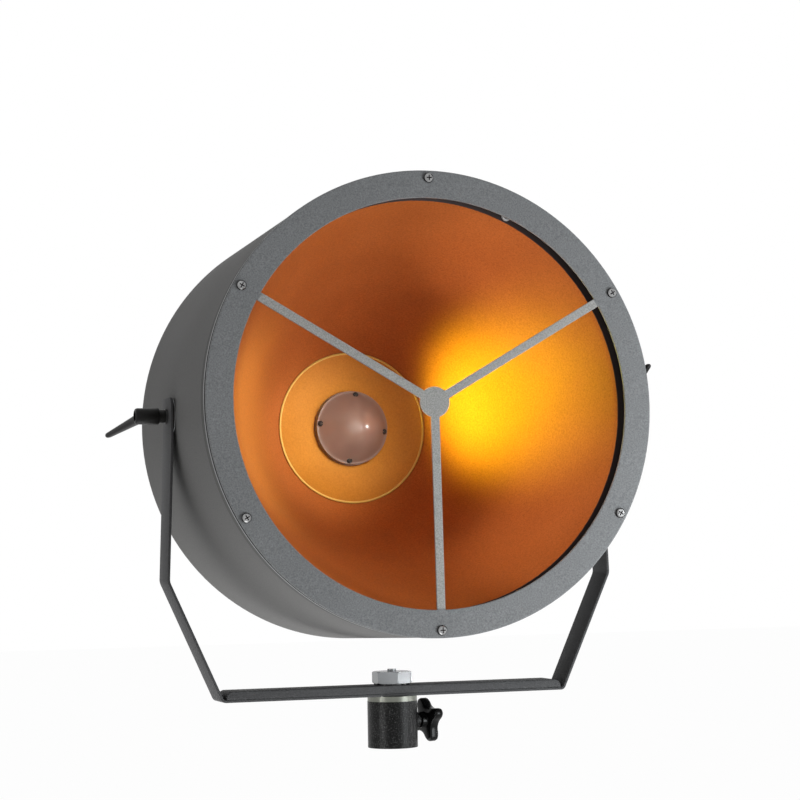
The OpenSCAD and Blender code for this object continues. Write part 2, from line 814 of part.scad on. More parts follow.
module lever_screw(side) {
    head_at = spring_start + spring_block;
    color("dimgray") on_side(side) difference() {
        union() {
            translate([0, 0, neck_start + 4])
                cylinder(d = lever_screw_d, h = head_at - neck_start - 4 + eps);
            translate([0, 0, head_at]) cylinder(d = lever_screw_head_d, h = lever_screw_head_h);
        }
        translate([-2.2, -0.4, head_at + lever_screw_head_h - 0.9]) cube([4.4, 0.8, 0.9 + eps]);
    }
}

module lever_screw_left() {
    lever_screw(-1);
}

module lever_screw_right() {
    lever_screw(1);
}

// Arm end above the strip's bent profile, with round corners
module arm_end() {
    translate([arm_inner, -strip_w / 2 + corner_r, pivot_z + arm_top - corner_r - eps])
        cube([strip_t, strip_w - 2 * corner_r, corner_r + eps]);
    for (s = [-1, 1])
        translate([arm_inner, s * (strip_w / 2 - corner_r), pivot_z + arm_top - corner_r])
            rotate([0, 90, 0]) cylinder(r = corner_r, h = strip_t);
}

module yoke_strip() {
    last = len(yoke_path) - 1;
    upper = [for (i = [0:last]) beside(yoke_path, i, strip_t / 2)];
    lower = [for (i = [last:-1:0]) beside(yoke_path, i, -strip_t / 2)];
    color("dimgray") difference() {
        union() {
            rotate([90, 0, 0]) linear_extrude(height = strip_w, center = true)
                polygon(concat(upper, lower));
            arm_end();
            mirror([1, 0, 0]) arm_end();
        }
        translate([0, 0, pivot_z]) rotate([0, 90, 0])
            cylinder(r = stud_d / 2 + arm_hole_gap, h = 2 * drum_d, center = true);
        translate([0, 0, strip_bottom - eps]) cylinder(r = bolt_r + pin_gap, h = strip_t + 2 * eps);
    }
}

module stiffener_bar() {
    color("dimgray") difference() {
        union() {
            translate([-stiffener_half, -strip_w / 2, stiffener_z])
                cube([2 * stiffener_half, strip_w, stiffener_h - stiffener_round]);
            translate([-stiffener_half + stiffener_round, -strip_w / 2, stiffener_z])
                cube([2 * (stiffener_half - stiffener_round), strip_w, stiffener_h]);
            for (s = [-1, 1])
                translate([s * (stiffener_half - stiffener_round), -strip_w / 2, 0])
                    translate([0, 0, stiffener_top - stiffener_round])
                        rotate([-90, 0, 0]) cylinder(r = stiffener_round, h = strip_w);
        }
        translate([0, 0, stiffener_z - eps]) cylinder(r = bolt_r + pin_gap, h = stiffener_h + 2 * eps);
        translate([-drum_r, -strip_w, stiffener_z - 2 * stiffener_round])
            cube([drum_d, 2 * strip_w, 2 * stiffener_round]);
    }
}

module socket_tube() {
    color([0.15, 0.15, 0.15]) difference() {
        cylinder(r = socket_r, h = socket_len);
        translate([0, 0, -eps]) cylinder(r = bore_r, h = pole_depth + eps);
        translate([0, 0, pole_depth]) cylinder(r = relief_r, h = socket_len - plug_t - pole_depth);
        translate([0, 0, socket_len - plug_t - eps]) cylinder(r = plug_r + seat_gap, h = plug_t + 2 * eps);
        on_clamp() cylinder(r = clamp_hole_r, h = socket_d);
    }
}

module socket_plug() {
    color("dimgray") translate([0, 0, socket_len - plug_t]) tube(plug_r, bolt_r + seat_gap, plug_t);
}

module bearing_washer() {
    color("lightgray") translate([0, 0, socket_len]) tube(socket_r - 0.2, bolt_r + 2 * seat_gap, bearing_t);
}

module lock_washer() {
    color([0.2, 0.2, 0.2]) translate([0, 0, stiffener_top + run_gap]) difference() {
        union() {
            cylinder(d = lock_washer_d, h = lock_washer_t);
            for (a = even_angles(lock_teeth, 9)) rotate([0, 0, a])
                translate([0, -tooth_w / 2, 0])
                    cube([lock_washer_d / 2 + tooth_len, tooth_w, lock_washer_t]);
        }
        translate([0, 0, -eps]) cylinder(r = bolt_r + 2 * seat_gap, h = lock_washer_t + 2 * eps);
    }
}

module swivel_bolt() {
    head_z = stiffener_top + run_gap + lock_washer_t;
    corner = bolt_af / cos(30) / 2;
    small_r = corner - head_chamfer;
    wide_r = small_r + bolt_head_h * chamfer_slope;
    color("silver") {
        translate([0, 0, socket_len - plug_t]) cylinder(r = bolt_r, h = head_z - socket_len + plug_t + eps);
        translate([0, 0, head_z]) intersection() {
            rotate([0, 0, head_turn]) cylinder(r = corner, h = bolt_head_h, $fn = 6);
            cylinder(r1 = wide_r, r2 = small_r, h = bolt_head_h);
            cylinder(r1 = small_r, r2 = wide_r, h = bolt_head_h);
        }
        translate([0, 0, head_z + bolt_head_h - eps]) cylinder(d = nib_d, h = nib_h + eps);
    }
}

// Draws a child along +X from the socket's axis at the height of the clamp screw
module on_clamp() {
    rotate([0, 0, clamp_azimuth]) translate([0, 0, clamp_z]) rotate([0, 90, 0]) children();
}

module clamp_boss() {
    color([0.15, 0.15, 0.15]) difference() {
        on_clamp() translate([0, 0, bore_r])
            tube(clamp_boss_d / 2, clamp_hole_r, clamp_boss_end - bore_r);
        cylinder(r = socket_r + seat_gap, h = socket_len);
    }
}

module clamp_screw() {
    color("silver") on_clamp() translate([0, 0, clamp_screw_start])
        cylinder(r = clamp_screw_r - seat_gap, h = star_start + star_t / 2 - clamp_screw_start);
}

module pressure_pad() {
    color("goldenrod") on_clamp() translate([0, 0, pad_start]) cylinder(r = pad_r, h = pad_t);
}

module star_knob() {
    color([0.08, 0.08, 0.08]) on_clamp() difference() {
        union() {
            translate([0, 0, star_neck_start]) cylinder(d = star_neck_d, h = star_neck_len + eps);
            translate([0, 0, star_start]) cylinder(d = star_d, h = star_t);
        }
        for (a = even_angles(star_lobes, star_turn + 180 / star_lobes)) rotate([0, 0, a])
            translate([star_d / 2 + scallop_set, 0, star_start - eps])
                cylinder(r = scallop_r, h = star_t + 2 * eps);
        translate([0, 0, star_neck_start - eps]) cylinder(r = clamp_screw_r,
            h = star_start + star_t / 2 - star_neck_start + eps);
    }
}

drum_shell();
front_hoop();
front_ring();
ring_screws();
back_cover();
cover_screws();
reflector_dish();
reflector_lugs();
reflector_screws();
inner_bowl();
heat_sink();
post_screws();
led_board();
led_chip();
dome_lens();
dome_screws();
driver_box();
driver_screws();
power_inlet();
inlet_pins();
inlet_screws();
switch_housing();
switch_rocker();
wiring();
pivot_boss_left();
pivot_boss_right();
pivot_doublers();
friction_washers();
lever_washers();
lever_insert_left();
lever_handle_left();
lever_spring_left();
lever_screw_left();
lever_insert_right();
lever_handle_right();
lever_spring_right();
lever_screw_right();
yoke_strip();
stiffener_bar();
socket_tube();
socket_plug();
bearing_washer();
lock_washer();
swivel_bolt();
clamp_boss();
clamp_screw();
pressure_pad();
star_knob();
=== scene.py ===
"""Looks of the drum floodlight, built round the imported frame."""
import math

import bmesh
import bpy
from mathutils import Matrix, Vector


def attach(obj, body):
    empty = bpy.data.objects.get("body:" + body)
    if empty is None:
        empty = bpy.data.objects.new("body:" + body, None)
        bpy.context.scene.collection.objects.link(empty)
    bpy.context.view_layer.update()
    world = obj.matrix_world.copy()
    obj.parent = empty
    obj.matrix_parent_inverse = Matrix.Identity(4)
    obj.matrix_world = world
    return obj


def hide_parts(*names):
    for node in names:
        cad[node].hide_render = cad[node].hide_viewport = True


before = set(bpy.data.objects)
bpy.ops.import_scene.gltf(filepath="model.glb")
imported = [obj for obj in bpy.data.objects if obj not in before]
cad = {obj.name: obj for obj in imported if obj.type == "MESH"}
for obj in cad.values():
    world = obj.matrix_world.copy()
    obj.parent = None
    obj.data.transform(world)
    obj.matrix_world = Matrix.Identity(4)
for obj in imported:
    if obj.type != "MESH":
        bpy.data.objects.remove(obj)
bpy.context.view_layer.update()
scene = bpy.context.scene
MM = 0.001

# Sizes repeated from the part's source, in millimetres
HEAD_TILT = 2.0
PIVOT_Z = 280.5
PIVOT_DEPTH = 124.5
RING_R, RING_INNER_R, RING_SHEET, RING_LIP, LIP_WALL = 189.0, 166.5, 2.0, 8.0, 1.5
SPOKE_W, GUARD_HUB_R = 7.0, 12.5
SPOKE_ANGLES = (30.0, 150.0, 270.0)
DRUM_R, DRUM_WALL, DRUM_FRONT, COVER_DEPTH, BACK_LIP = 188.5, 1.5, 8.8, 245.0, 14.0
REFLECTOR_R, REFLECTOR_FRONT, REFLECTOR_SHEET, FLANGE_R = 167.0, 16.5, 1.2, 176.0
THROAT_R, THROAT_DEPTH = 67.9, 227.5
BOWL_R, BOWL_FRONT, BOWL_DEPTH, BOWL_BOTTOM_R, BOWL_HOLE_R = 67.5, 226.0, 7.0, 34.7, 33.5
LENS_R, LENS_FLANGE, DOME_R, DOME_H, DOME_WALL = 33.2, 2.0, 26.5, 19.0, 2.0
ARM_MID, ARM_TOP, ARM_FLAT, ARM_SET, BEND_DROP = 191.3, 15.0, 22.0, 4.3, 137.0
STRIP_W, STRIP_T, STRIP_BOTTOM, BOTTOM_RUN, BEND, CORNER_R = 32.0, 2.2, 43.5, 302.0, 2.5, 5.0
BAR_H, BAR_HALF, BAR_ROUND = 6.8, 148.3, 5.5
HUB_START, HUB_END, HUB_R, WEB_START, WEB_END = 199.4, 219.4, 6.8, 206.9, 208.9
LEVER_LEAN, LEVER_REACH, ARM_ROOT_R, ARM_TIP_R = 20.0, 57.0, 4.8, 2.6
KNOB_Z, KNOB_NECK, KNOB_FRONT, KNOB_BACK, KNOB_R = 21.0, 27.0, 32.0, 41.0, 19.25
KNOB_TURN, KNOB_SCALLOP, KNOB_SET, CLAMP_AZIMUTH = 67.0, 14.5, 6.8, 16.0
LEFT_ANGLE, RIGHT_ANGLE = -14.0, 126.0

# Details of the scene alone, in millimetres: the slot in the ring's edge, from and to, and the levers' cut
GROOVE = (1.8, 4.6)
TIP_SHORT = 1.0

# Depths of the head at which a look changes, in millimetres, and the colours there: painted shade in the
# ring's slot, the screws' recesses, the dish's flange and the lens's edge, the ring's painted shadow on the
# drum's front and a painted highlight on the bowl's rim
GROOVE_EDGE, RING_SHADOW_END, RECESS_FLOOR = 0.1, 18.0, -1.7
FLANGE_SHADE, RIM_SHINE, LENS_SHADE = REFLECTOR_FRONT + 0.4, BOWL_FRONT + 0.55, BOWL_FRONT + 0.25
GROOVE_SHADE_BLACK, RECESS_SHADE_BLACK = (0.008, 0.008, 0.008), (0.01, 0.01, 0.01)
FLANGE_SHADE_BROWN, RIM_HIGHLIGHT_GOLD, LENS_EDGE_SHADE = (0.050, 0.036, 0.034), (0.60, 0.38, 0.10), (0.02, 0.012, 0.009)
RING_SHADOW_TINT, WHITE = (0.72, 0.72, 0.72), (1.0, 1.0, 1.0)

# Camera fitted to the photograph: pixels of it, millimetres of the sensor, metres and degrees
FOCAL_PX, IMAGE_PX, SENSOR = 2200.0, 800.0, 36.0
CAMERA_AT = (-0.58560, -1.78890, 0.16846)
CAMERA_YAW, CAMERA_PITCH, CAMERA_ROLL = 18.46788, 3.83807, -1.03354

# Floor, in metres
FLOOR_HALF, FLOOR_Z = 9.0, -0.30

HEAD = (Matrix.Translation((0, 0, PIVOT_Z * MM))
        @ Matrix.Rotation(math.radians(-HEAD_TILT), 4, "X")
        @ Matrix.Translation((0, -PIVOT_DEPTH * MM, 0)))
WORLD = Matrix.Identity(4)


# Mesh helpers: all sizes come in millimetres and leave in metres
def finish_mesh(name, bm, place, smooth_deg=32.0):
    bmesh.ops.remove_doubles(bm, verts=bm.verts, dist=1e-7)
    bmesh.ops.recalc_face_normals(bm, faces=bm.faces)
    mesh = bpy.data.meshes.new(name)
    bm.to_mesh(mesh)
    bm.free()
    mesh.transform(place)
    for poly in mesh.polygons:
        poly.use_smooth = True
    mesh.set_sharp_from_angle(angle=math.radians(smooth_deg))
    obj = bpy.data.objects.new(name, mesh)
    scene.collection.objects.link(obj)
    return obj


def add_rings(bm, rings, close_path=True, caps=False):
    """Joins rings of equally many points into a skin."""
    loops = [[bm.verts.new(Vector(p) * MM) for p in ring] for ring in rings]
    n = len(loops[0])
    pairs = len(loops) if close_path else len(loops) - 1
    for i in range(pairs):
        a, b = loops[i], loops[(i + 1) % len(loops)]
        for k in range(n):
            bm.faces.new((a[k], a[(k + 1) % n], b[(k + 1) % n], b[k]))
    if caps:
        bm.faces.new(loops[0])
        bm.faces.new(list(reversed(loops[-1])))
    return loops


def arc(cx, cy, r, a0, a1, steps):
    return [(cx + r * math.cos(math.radians(a0 + (a1 - a0) * i / steps)),
             cy + r * math.sin(math.radians(a0 + (a1 - a0) * i / steps))) for i in range(steps + 1)]


def lathe(bm, profile, segments=192, closed=True):
    """Turns a profile of (radius, depth) round the depth axis."""
    rings = []
    for r, d in profile:
        rings.append([(r * math.cos(2 * math.pi * k / segments), d,
                       r * math.sin(2 * math.pi * k / segments)) for k in range(segments)])
    add_rings(bm, rings, close_path=closed)


def inset_loop(points, distance):
    """Moves a closed loop of 2-D points to its left by a distance, with mitred corners."""
    out = []
    n = len(points)
    for i in range(n):
        p0, p1, p2 = Vector(points[i - 1]), Vector(points[i]), Vector(points[(i + 1) % n])
        a, b = (p1 - p0).normalized(), (p2 - p1).normalized()
        normal = Vector((-a.y, a.x)) + Vector((-b.y, b.x))
        out.append(tuple(p1 + normal * (2 * distance / max(normal.length_squared, 0.5))))
    return out


def layered(outline, layers, sign=1):
    """Rings of a 2-D outline that runs in X and Z, one for each (inset, place along Y)."""
    rings = []
    for inset, y in layers:
        points = inset_loop(outline, sign * inset) if inset else outline
        rings.append([(p[0], y, p[1]) for p in points])
    return rings


def make_guard():
    """Front ring with its turned edge and the three-spoke guard, one sheet with softened edges."""
    bm = bmesh.new()
    outer = arc(0, 0, RING_R, 0, 360, 240)[:-1]
    slot_front, slot_back = GROOVE
    slot_floor, slot_edge = LIP_WALL - 0.25, 0.2
    hem, hem_edge = RING_LIP - 0.4, RING_LIP - 0.12
    outer_layers = [(1.4, 0), (0.6, 0), (0.25, 0.1), (0.06, 0.35), (0, 0.7), (0, slot_front - slot_edge),
                    (slot_edge, slot_front), (slot_floor, slot_front), (slot_floor, slot_back),
                    (slot_edge, slot_back), (0, slot_back + slot_edge), (0, hem), (0.12, hem_edge),
                    (0.4, RING_LIP), (1.1, RING_LIP), (1.38, hem_edge), (LIP_WALL, hem),
                    (LIP_WALL, RING_SHEET)]
    window_layers = [(1.0, 0), (0.4, 0), (0.12, 0.12), (0, 0.4), (0, RING_SHEET - 0.25), (0.25, RING_SHEET)]
    at_rim = math.degrees(math.asin(SPOKE_W / 2 / RING_INNER_R))
    at_hub = math.degrees(math.asin(SPOKE_W / 2 / GUARD_HUB_R))
    pitch = 360 / len(SPOKE_ANGLES)
    front, back = [], []

    def skin(loop, layers, sign):
        loops = add_rings(bm, layered(loop, layers, sign), close_path=False)
        for cap, ring in ((front, loops[0]), (back, loops[-1])):
            cap.extend(bm.edges.get((ring[k], ring[(k + 1) % len(ring)])) for k in range(len(ring)))

    skin(outer, outer_layers, 1)
    for a in SPOKE_ANGLES:
        window = (arc(0, 0, RING_INNER_R, a + at_rim, a + pitch - at_rim, 80)
                  + arc(0, 0, GUARD_HUB_R, a + pitch - at_hub, a + at_hub, 14))
        skin(window, window_layers, -1)
    for edges in (front, back):
        bmesh.ops.triangle_fill(bm, use_beauty=True, use_dissolve=False, edges=edges)
    return finish_mesh("guard_sheet", bm, HEAD, 28)


def make_drum():
    """Drum wall with a softened front edge and the fold of its back lip."""
    bm = bmesh.new()
    inner = DRUM_R - DRUM_WALL
    lip = inner - BACK_LIP
    sheet = COVER_DEPTH - DRUM_WALL
    edge, fold, hem, crease = 0.4, 2.0, 0.3, 0.5
    straight, steps = 230.0, 12
    profile = ([(inner, DRUM_FRONT), (DRUM_R - edge, DRUM_FRONT), (DRUM_R, DRUM_FRONT + edge)]
               + [(DRUM_R, DRUM_FRONT + edge + straight * i / steps) for i in range(1, steps + 1)]
               + arc(DRUM_R - fold, COVER_DEPTH - fold, fold, 0, 90, 6)
               + [(lip + hem, COVER_DEPTH), (lip, COVER_DEPTH - hem), (lip, sheet + hem), (lip + hem, sheet)]
               + [(inner - crease, sheet), (inner, sheet - crease)])
    lathe(bm, profile, 240)
    return finish_mesh("drum_skin", bm, HEAD)


def make_dish():
    """Paraboloid reflector as one smooth skin, with its flat flange."""
    bm = bmesh.new()
    k = (REFLECTOR_R ** 2 - THROAT_R ** 2) / (THROAT_DEPTH - REFLECTOR_FRONT)
    inner, outer = [], []
    steps = 72
    for i in range(steps + 1):
        d = REFLECTOR_FRONT + (THROAT_DEPTH - REFLECTOR_FRONT) * i / steps
        r = math.sqrt(THROAT_R ** 2 + k * (THROAT_DEPTH - d))
        slant = math.sqrt(1 + (k / (2 * r)) ** 2)
        inner.append((r, d))
        if i > 0:
            outer.append((r + REFLECTOR_SHEET * slant, d))
    back = REFLECTOR_FRONT + REFLECTOR_SHEET
    turn_out, turn_in, turn_depth = 1.0, 0.3, 0.08
    rim = [(FLANGE_R, back), (FLANGE_R, REFLECTOR_FRONT), (REFLECTOR_R + turn_out, REFLECTOR_FRONT),
           (REFLECTOR_R + turn_in, REFLECTOR_FRONT + turn_depth)]
    lathe(bm, inner[1:] + outer[::-1] + rim, 240)
    return finish_mesh("dish_skin", bm, HEAD, 40)


def make_bowl():
    """Inner bowl, a shallow dish with a rolled bead on its rim."""
    bm = bmesh.new()
    steps = 32
    floor = BOWL_FRONT + BOWL_DEPTH
    bead, bead_r, bead_depth = 0.95, BOWL_R - 0.25, BOWL_FRONT + 0.45
    bead_inside, bead_outside = 0.945, 0.975

    def wall(off, lo, hi):
        points = []
        for i in range(steps + 1):
            t = lo + (hi - lo) * i / steps
            r = BOWL_BOTTOM_R + (BOWL_R - BOWL_BOTTOM_R) * t
            points.append((r, BOWL_FRONT + BOWL_DEPTH * (1 - t * t) + off))
        return points

    profile = ([(BOWL_HOLE_R, floor)] + wall(0, 0, bead_inside)
               + arc(bead_r, bead_depth, bead, 170, 400, 16)
               + wall(REFLECTOR_SHEET, bead_outside, 0) + [(BOWL_HOLE_R, floor + REFLECTOR_SHEET)])
    lathe(bm, profile, 192)
    return finish_mesh("bowl_skin", bm, HEAD, 50)


def make_dome():
    """Domed lens that runs out softly into its flange, with a rounded edge and a hollow inside."""
    bm = bmesh.new()
    back = BOWL_FRONT + LENS_FLANGE
    foot, edge, fullness, steps = LENS_R - 1.3, 0.35, 1.5, 36
    outer = []
    for i in range(steps + 1):
        x = math.sin(math.radians(90 * i / steps))
        outer.append((foot * x, BOWL_FRONT - DOME_H * (1 - x * x) ** fullness))
    hollow = [(r, d + DOME_WALL) for r, d in outer if r < DOME_R - DOME_WALL]
    corner = arc(LENS_R - edge, BOWL_FRONT + edge, edge, 270, 360, 5) + [(LENS_R, back)]
    lathe(bm, outer + corner + [(DOME_R - DOME_WALL, back)] + hollow[::-1], 128, closed=False)
    return finish_mesh("dome_skin", bm, HEAD, 40)


def bend_points(path, cut, steps):
    """Rounds the inner corners of an open 2-D path."""
    out = [Vector(path[0])]
    for i in range(1, len(path) - 1):
        p = Vector(path[i])
        u = (Vector(path[i - 1]) - p).normalized() * cut
        w = (Vector(path[i + 1]) - p).normalized() * cut
        for k in range(steps + 1):
            t = k / steps
            out.append(p + u * (1 - t) ** 2 + w * t ** 2)
    out.append(Vector(path[-1]))
    return out


def make_yoke_band():
    """Bent strip of the yoke, swept with soft edges, its arms rounded at the top."""
    bm = bmesh.new()
    mid_z = STRIP_BOTTOM + STRIP_T / 2
    half = [(ARM_MID, PIVOT_Z + ARM_TOP), (ARM_MID, PIVOT_Z - ARM_FLAT),
            (ARM_MID + ARM_SET, PIVOT_Z - BEND_DROP), (BOTTOM_RUN / 2, mid_z)]
    path = bend_points(half + [(-x, z) for x, z in reversed(half)], BEND, 8)
    top = [CORNER_R * (1 - math.cos(math.radians(90 * i / 8))) for i in range(1, 9)]
    start = [path[0] + Vector((0, -s)) for s in top]
    end = [path[-1] + Vector((0, -s)) for s in reversed(top)]
    path = [path[0]] + start + path[1:-1] + end + [path[-1]]
    edge = 0.5
    rings = []
    for i, p in enumerate(path):
        a = (path[max(i, 1)] - path[max(i, 1) - 1]).normalized()
        b = (path[min(i, len(path) - 2) + 1] - path[min(i, len(path) - 2)]).normalized()
        normal = Vector((-a.y, a.x)) + Vector((-b.y, b.x))
        normal = normal * (2 / normal.length_squared)
        down = min(CORNER_R, (path[0].y - p.y) if p.x > 0 else (path[-1].y - p.y))
        wide = STRIP_W / 2 - CORNER_R + math.sqrt(max(CORNER_R ** 2 - (CORNER_R - down) ** 2, 0)) - edge
        thick = STRIP_T / 2 - edge
        section = (arc(wide, thick, edge, 0, 90, 3) + arc(-wide, thick, edge, 90, 180, 3)
                   + arc(-wide, -thick, edge, 180, 270, 3) + arc(wide, -thick, edge, 270, 360, 3))
        rings.append([(p.x + normal.x * n, y, p.y + normal.y * n) for y, n in section])
    add_rings(bm, rings, close_path=False, caps=True)
    return finish_mesh("yoke_band", bm, WORLD, 30)


def make_yoke_bar():
    """Stiffener on the yoke's bottom run, rounded at its upper ends."""
    bm = bmesh.new()
    z0 = STRIP_BOTTOM + STRIP_T
    z1 = z0 + BAR_H
    outline = ([(-BAR_HALF, z0), (BAR_HALF, z0)]
               + arc(BAR_HALF - BAR_ROUND, z1 - BAR_ROUND, BAR_ROUND, 0, 90, 8)
               + [(x, z1) for x in (100, 50, 0, -50, -100)]
               + arc(-BAR_HALF + BAR_ROUND, z1 - BAR_ROUND, BAR_ROUND, 90, 180, 8))
    w = STRIP_W / 2
    soft = [(0.9, 0), (0.45, 0.12), (0.12, 0.45), (0, 0.9)]
    layers = [(inset, -w + y) for inset, y in soft] + [(inset, w - y) for inset, y in reversed(soft)]
    add_rings(bm, layered(outline, layers), close_path=False, caps=True)
    return finish_mesh("yoke_bar", bm, WORLD, 30)


def lever_arm(angle):
    """Rings of a lever's arm: a rounded square section that tapers from the hub to a crowned tip."""
    lean = math.tan(math.radians(LEVER_LEAN))
    reach = (LEVER_REACH - TIP_SHORT) * math.cos(math.radians(LEVER_LEAN))
    root, axis_x = 5.0, HUB_END - ARM_ROOT_R - 2.5
    swell, swell_at, swell_width = 0.06, 6.2, 3.0
    squareness, thick, wide = 2.6, 1.02, 0.86
    steps, sides = 24, 24
    cos_a, sin_a = math.cos(math.radians(angle)), math.sin(math.radians(angle))
    stations = ([root + (reach - root) * i / steps for i in range(steps + 1)]
                + [reach + ARM_TIP_R * math.sin(math.radians(a)) for a in (25, 45, 62, 76, 86)])
    rings = []
    for rho in stations:
        r = ARM_ROOT_R - (ARM_ROOT_R - ARM_TIP_R) * min(rho, reach) / reach
        r *= 1 + swell * math.exp(-((rho - swell_at) / swell_width) ** 2)
        if rho > reach:
            r *= math.sqrt(max(1 - ((rho - reach) / ARM_TIP_R) ** 2, 0.0))
        ring = []
        for k in range(sides):
            t = 2 * math.pi * k / sides
            c, s = math.cos(t), math.sin(t)
            shape = (abs(c) ** squareness + abs(s) ** squareness) ** (-1 / squareness)
            x = axis_x + rho * lean + thick * r * c * shape
            v = wide * r * s * shape
            ring.append((x, rho * cos_a - v * sin_a, rho * sin_a + v * cos_a))
        rings.append(ring)
    return rings


def make_lever(name, side, angle):
    """Clamping lever's handle: hollow hub and a leaning arm.

    The arm ends short of the solid's by TIP_SHORT, so that its crowned tip stays inside the part's box.
    """
    bm = bmesh.new()
    bore, web_hole, counterbore = 4.6, 1.9, 4.4
    profile = [(bore, HUB_START), (HUB_R - 0.6, HUB_START), (HUB_R - 0.15, HUB_START + 0.2),
               (HUB_R, HUB_START + 0.7), (HUB_R, HUB_END - 2.2), (HUB_R - 0.25, HUB_END - 1.2),
               (HUB_R - 0.8, HUB_END - 0.4), (HUB_R - 1.6, HUB_END), (counterbore + 0.3, HUB_END),
               (counterbore, HUB_END - 0.3), (counterbore, WEB_END), (web_hole, WEB_END),
               (web_hole, WEB_START), (bore, WEB_START)]
    segments = 48
    turns = [2 * math.pi * k / segments for k in range(segments)]
    add_rings(bm, [[(x, r * math.cos(t), r * math.sin(t)) for t in turns] for r, x in profile])
    add_rings(bm, lever_arm(angle), close_path=False, caps=True)
    place = Matrix.Translation((0, 0, PIVOT_Z * MM)) @ Matrix.Diagonal((side, 1, 1, 1))
    return finish_mesh(name, bm, place, 36)


def make_knob():
    """Four-lobed star knob with soft edges and a conical neck towards the socket."""
    bm = bmesh.new()
    seg = 144
    scallop, centre = KNOB_SCALLOP, KNOB_R + KNOB_SET

    def radius(t):
        off = (t - KNOB_TURN) % 90.0 - 45.0
        side = centre * math.sin(math.radians(off))
        if abs(side) >= scallop:
            return KNOB_R
        return min(KNOB_R, centre * math.cos(math.radians(off)) - math.sqrt(scallop ** 2 - side ** 2))

    raw = [radius(360.0 * k / seg) for k in range(seg)]
    star = []
    for k in range(seg):
        near = [raw[(k + j) % seg] for j in range(-3, 4)]
        star.append(min(sum(near) / len(near), KNOB_R))
    neck = [(KNOB_NECK, 6.4), (KNOB_NECK + 0.3, 6.9), (KNOB_FRONT - 1.2, 6.9), (KNOB_FRONT - 0.3, 7.2)]
    insets = [(KNOB_FRONT, 2.6), (KNOB_FRONT + 0.25, 1.3), (KNOB_FRONT + 0.9, 0.45), (KNOB_FRONT + 2.0, 0),
              (KNOB_BACK - 2.2, 0), (KNOB_BACK - 1.0, 0.5), (KNOB_BACK - 0.3, 1.5), (KNOB_BACK, 3.0)]
    layers = [(x, [r] * seg) for x, r in neck] + [(x, [r - inset for r in star]) for x, inset in insets]
    rings = []
    for x, radii in layers:
        ring = []
        for k, r in enumerate(radii):
            a = math.radians(360.0 * k / seg)
            ring.append((x, r * math.sin(a), KNOB_Z - r * math.cos(a)))
        rings.append(ring)
    add_rings(bm, rings, close_path=False, caps=True)
    return finish_mesh("knob_body", bm, Matrix.Rotation(math.radians(CLAMP_AZIMUTH), 4, "Z"), 40)


# Materials
def new_material(name):
    mat = bpy.data.materials.new(name)
    mat.use_nodes = True
    tree = mat.node_tree
    return mat, tree, tree.nodes["Principled BSDF"]


def noise(tree, scale, detail=3.0, rough=0.55):
    coords = tree.nodes.new("ShaderNodeTexCoord")
    tex = tree.nodes.new("ShaderNodeTexNoise")
    tex.inputs["Scale"].default_value = scale
    tex.inputs["Detail"].default_value = detail
    tex.inputs["Roughness"].default_value = rough
    tree.links.new(coords.outputs["Object"], tex.inputs["Vector"])
    return tex.outputs["Fac"]


def ramp(tree, value, stops):
    node = tree.nodes.new("ShaderNodeValToRGB")
    els = node.color_ramp.elements
    while len(els) < len(stops):
        els.new(0.5)
    for el, (pos, col) in zip(els, stops):
        el.position = pos
        el.color = (*col, 1)
    tree.links.new(value, node.inputs["Fac"])
    return node.outputs["Color"]


def span(tree, value, lo, hi, from_lo=0.3, from_hi=0.7):
    node = tree.nodes.new("ShaderNodeMapRange")
    node.inputs["From Min"].default_value = from_lo
    node.inputs["From Max"].default_value = from_hi
    node.inputs["To Min"].default_value = lo
    node.inputs["To Max"].default_value = hi
    tree.links.new(value, node.inputs["Value"])
    return node.outputs["Result"]


def mix_colour(tree, share, a, b, mode="MIX"):
    """Mixes two colours, each one a socket or a plain colour."""
    node = tree.nodes.new("ShaderNodeMix")
    node.data_type = "RGBA"
    node.blend_type = mode
    share_slot, a_slot, b_slot = node.inputs[0], node.inputs[6], node.inputs[7]
    for value, slot in ((share, share_slot), (a, a_slot), (b, b_slot)):
        if isinstance(value, bpy.types.NodeSocket):
            tree.links.new(value, slot)
        else:
            slot.default_value = value if slot == share_slot else (*value, 1)
    return node.outputs[2]


def tint(tree, base, factor):
    return mix_colour(tree, 1.0, base, factor, "MULTIPLY")


def bump(tree, bsdf, height, strength, distance_mm):
    node = tree.nodes.new("ShaderNodeBump")
    node.inputs["Strength"].default_value = strength
    node.inputs["Distance"].default_value = distance_mm * MM
    tree.links.new(height, node.inputs["Height"])
    tree.links.new(node.outputs["Normal"], bsdf.inputs["Normal"])


def inside_ring(tree):
    """1 on the guard's spokes and hub, 0 on the ring round them."""
    coords = tree.nodes.new("ShaderNodeTexCoord")
    away = tree.nodes.new("ShaderNodeVectorMath")
    away.operation = "DISTANCE"
    away.inputs[1].default_value = HEAD @ Vector((0, 0, 0))
    tree.links.new(coords.outputs["Object"], away.inputs[0])
    return span(tree, away.outputs["Value"], 1.0, 0.0, (RING_INNER_R - 1.5) * MM, (RING_INNER_R - 0.5) * MM)


def before_depth(tree, depth, high=1.0):
    """A value, 1 as a rule, in front of a depth of the head, in millimetres, and 0 behind it."""
    axis = HEAD.to_3x3() @ Vector((0, 1, 0))
    coords = tree.nodes.new("ShaderNodeTexCoord")
    along = tree.nodes.new("ShaderNodeVectorMath")
    along.operation = "DOT_PRODUCT"
    along.inputs[1].default_value = axis
    tree.links.new(coords.outputs["Object"], along.inputs[0])
    at = (HEAD @ Vector((0, depth * MM, 0))).dot(axis)
    blur = 0.1 * MM
    return span(tree, along.outputs["Value"], high, 0.0, at - blur, at + blur)


def scaled(colour, k):
    return tuple(min(c * k, 1.0) for c in colour)


